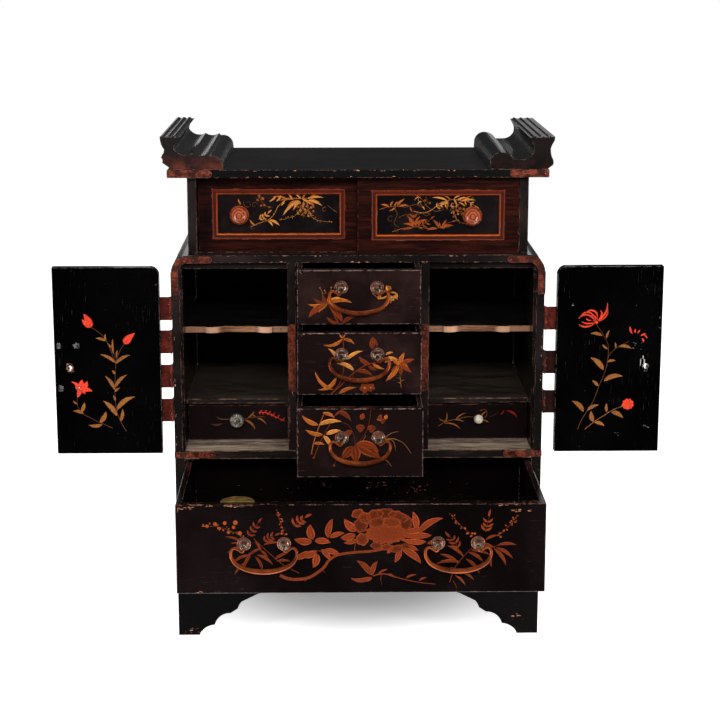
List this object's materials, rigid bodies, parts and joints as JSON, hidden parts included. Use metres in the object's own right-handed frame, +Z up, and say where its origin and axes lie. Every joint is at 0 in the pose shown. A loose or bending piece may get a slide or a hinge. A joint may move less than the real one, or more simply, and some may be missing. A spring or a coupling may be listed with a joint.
{
  "type": "jewelry armoire",
  "caption": "Free-standing table cabinet with hinged side doors, sliding upper doors, pull-out drawers with bail handles, open bays, scroll roof ends and a bracket plinth.",
  "frame": {"origin": "centre of the underside of the rest pose: the point on the supporting surface below the middle of the model's box with both side doors open and the drawers pulled out as stored", "axes": "+Z up; +X to the right seen from the front, along the cabinet's width; +Y from the front to the back"},
  "size_m": [0.7324, 0.4508, 0.623],
  "materials": {
    "black_lacquer": "glossy black urushi lacquer over wood, worn to brown at the edges",
    "brown_lacquer": "worn red-brown lacquer with the wood's grain showing",
    "door_frame_wood": "dark red-brown lacquered frame with a black panel",
    "inner_wood": "scratched grey-black lacquered board",
    "shelf_wood": "black lacquered board with a bare light brown front edge",
    "copper": "patinated engraved copper sheet",
    "bail_copper": "polished orange copper bar",
    "knob_wood": "turned red-brown wood, polished",
    "silver": "cast silver-coloured metal",
    "ivory": "turned pale bone-like material",
    "brass": "old yellow brass",
    "gold_paint": "raised gold and orange painted lacquer decoration",
    "red_paint": "red painted lacquer decoration",
    "moulding_red": "red-orange lacquered moulding"
  },
  "bodies": {
    "root": {"back_panel": "black_lacquer", "base_board": "black_lacquer", "bay_floor": "inner_wood", "carcass_side_left": "black_lacquer", "carcass_side_right": "black_lacquer", "carcass_top": "black_lacquer", "divider_left": "black_lacquer", "divider_right": "black_lacquer", "drawer_rail_lower": "inner_wood", "drawer_rail_upper": "inner_wood", "hinge_plate_left": "copper", "hinge_plate_right": "copper", "inner_drawer_lid_left": "black_lacquer", "inner_drawer_lid_right": "black_lacquer", "plinth_frame": "black_lacquer", "scroll_end_left": "brown_lacquer", "scroll_end_right": "black_lacquer", "shelf_left": "shelf_wood", "shelf_right": "shelf_wood", "top_board": "black_lacquer", "upper_back": "black_lacquer", "upper_side_left": "black_lacquer", "upper_side_right": "black_lacquer"},
    "sliding_door_left": {"sliding_door_left": "door_frame_wood", "sliding_door_knob_left": "knob_wood"},
    "sliding_door_right": {"sliding_door_right": "door_frame_wood", "sliding_door_knob_right": "knob_wood"},
    "door_left": {"door_left": "black_lacquer", "hinge_strap_left_1": "copper", "hinge_strap_left_2": "copper", "hinge_strap_left_3": "copper", "hinge_strap_left_4": "copper"},
    "door_right": {"door_right": "black_lacquer", "hinge_strap_right_1": "copper", "hinge_strap_right_2": "copper", "hinge_strap_right_3": "copper"},
    "drawer_upper": {"drawer_upper": "black_lacquer", "bail_upper_post_left": "copper", "bail_upper_post_right": "copper"},
    "drawer_middle": {"drawer_middle": "black_lacquer", "bail_middle_post_left": "copper", "bail_middle_post_right": "copper"},
    "drawer_lower": {"drawer_lower": "black_lacquer", "bail_lower_post_left": "copper", "bail_lower_post_right": "copper"},
    "drawer_bottom": {"drawer_bottom": "black_lacquer", "drawer_catch_plate": "brass", "bail_bottom_left_post_left": "copper", "bail_bottom_left_post_right": "copper", "bail_bottom_right_post_left": "copper", "bail_bottom_right_post_right": "copper"},
    "bail_upper": {"bail_upper": "bail_copper"},
    "bail_middle": {"bail_middle": "bail_copper"},
    "bail_lower": {"bail_lower": "bail_copper"},
    "bail_bottom_left": {"bail_bottom_left": "bail_copper"},
    "bail_bottom_right": {"bail_bottom_right": "bail_copper"},
    "inner_drawer_left": {"inner_drawer_left": "black_lacquer", "inner_drawer_knob_left": "silver"},
    "inner_drawer_right": {"inner_drawer_right": "black_lacquer", "inner_drawer_knob_right": "ivory"}
  },
  "joints": [
    {"name": "sliding_door_left_slide", "type": "slide", "parent": "root", "child": "sliding_door_left", "axis": [1, 0, 0], "range_m": [0, 0.125]},
    {"name": "sliding_door_right_slide", "type": "slide", "parent": "root", "child": "sliding_door_right", "axis": [1, 0, 0], "range_m": [-0.125, 0]},
    {"name": "door_left_hinge", "type": "hinge", "parent": "root", "child": "door_left", "pos_m": [-0.2268, -0.03163, 0.354], "axis": [0, 0, -1], "range_deg": [-180, 0]},
    {"name": "door_right_hinge", "type": "hinge", "parent": "root", "child": "door_right", "pos_m": [0.2268, -0.03163, 0.354], "axis": [0, 0, 1], "range_deg": [-180, 0]},
    {"name": "drawer_upper_slide", "type": "slide", "parent": "root", "child": "drawer_upper", "axis": [0, -1, 0], "range_m": [-0.0508, 0.0992]},
    {"name": "drawer_middle_slide", "type": "slide", "parent": "root", "child": "drawer_middle", "axis": [0, -1, 0], "range_m": [-0.0748, 0.0752]},
    {"name": "drawer_lower_slide", "type": "slide", "parent": "root", "child": "drawer_lower", "axis": [0, -1, 0], "range_m": [-0.1222, 0.0278]},
    {"name": "drawer_bottom_slide", "type": "slide", "parent": "root", "child": "drawer_bottom", "axis": [0, -1, 0], "range_m": [-0.186, 0.014]},
    {"name": "inner_drawer_left_slide", "type": "slide", "parent": "root", "child": "inner_drawer_left", "axis": [0, -1, 0], "range_m": [0, 0.11]},
    {"name": "inner_drawer_right_slide", "type": "slide", "parent": "root", "child": "inner_drawer_right", "axis": [0, -1, 0], "range_m": [0, 0.11]},
    {"name": "bail_upper_swing", "type": "hinge", "parent": "drawer_upper", "child": "bail_upper", "pos_m": [0, -0.08693, 0.4456], "axis": [-1, 0, 0], "range_deg": [0, 100]},
    {"name": "bail_middle_swing", "type": "hinge", "parent": "drawer_middle", "child": "bail_middle", "pos_m": [0, -0.11092, 0.3701], "axis": [-1, 0, 0], "range_deg": [0, 100]},
    {"name": "bail_lower_swing", "type": "hinge", "parent": "drawer_lower", "child": "bail_lower", "pos_m": [0, -0.15832, 0.28175], "axis": [-1, 0, 0], "range_deg": [0, 100]},
    {"name": "bail_bottom_left_swing", "type": "hinge", "parent": "drawer_bottom", "child": "bail_bottom_left", "pos_m": [-0.1105, -0.22212, 0.1744], "axis": [-1, 0, 0], "range_deg": [0, 100]},
    {"name": "bail_bottom_right_swing", "type": "hinge", "parent": "drawer_bottom", "child": "bail_bottom_right", "pos_m": [0.1105, -0.22212, 0.1744], "axis": [-1, 0, 0], "range_deg": [0, 100]}
  ]
}
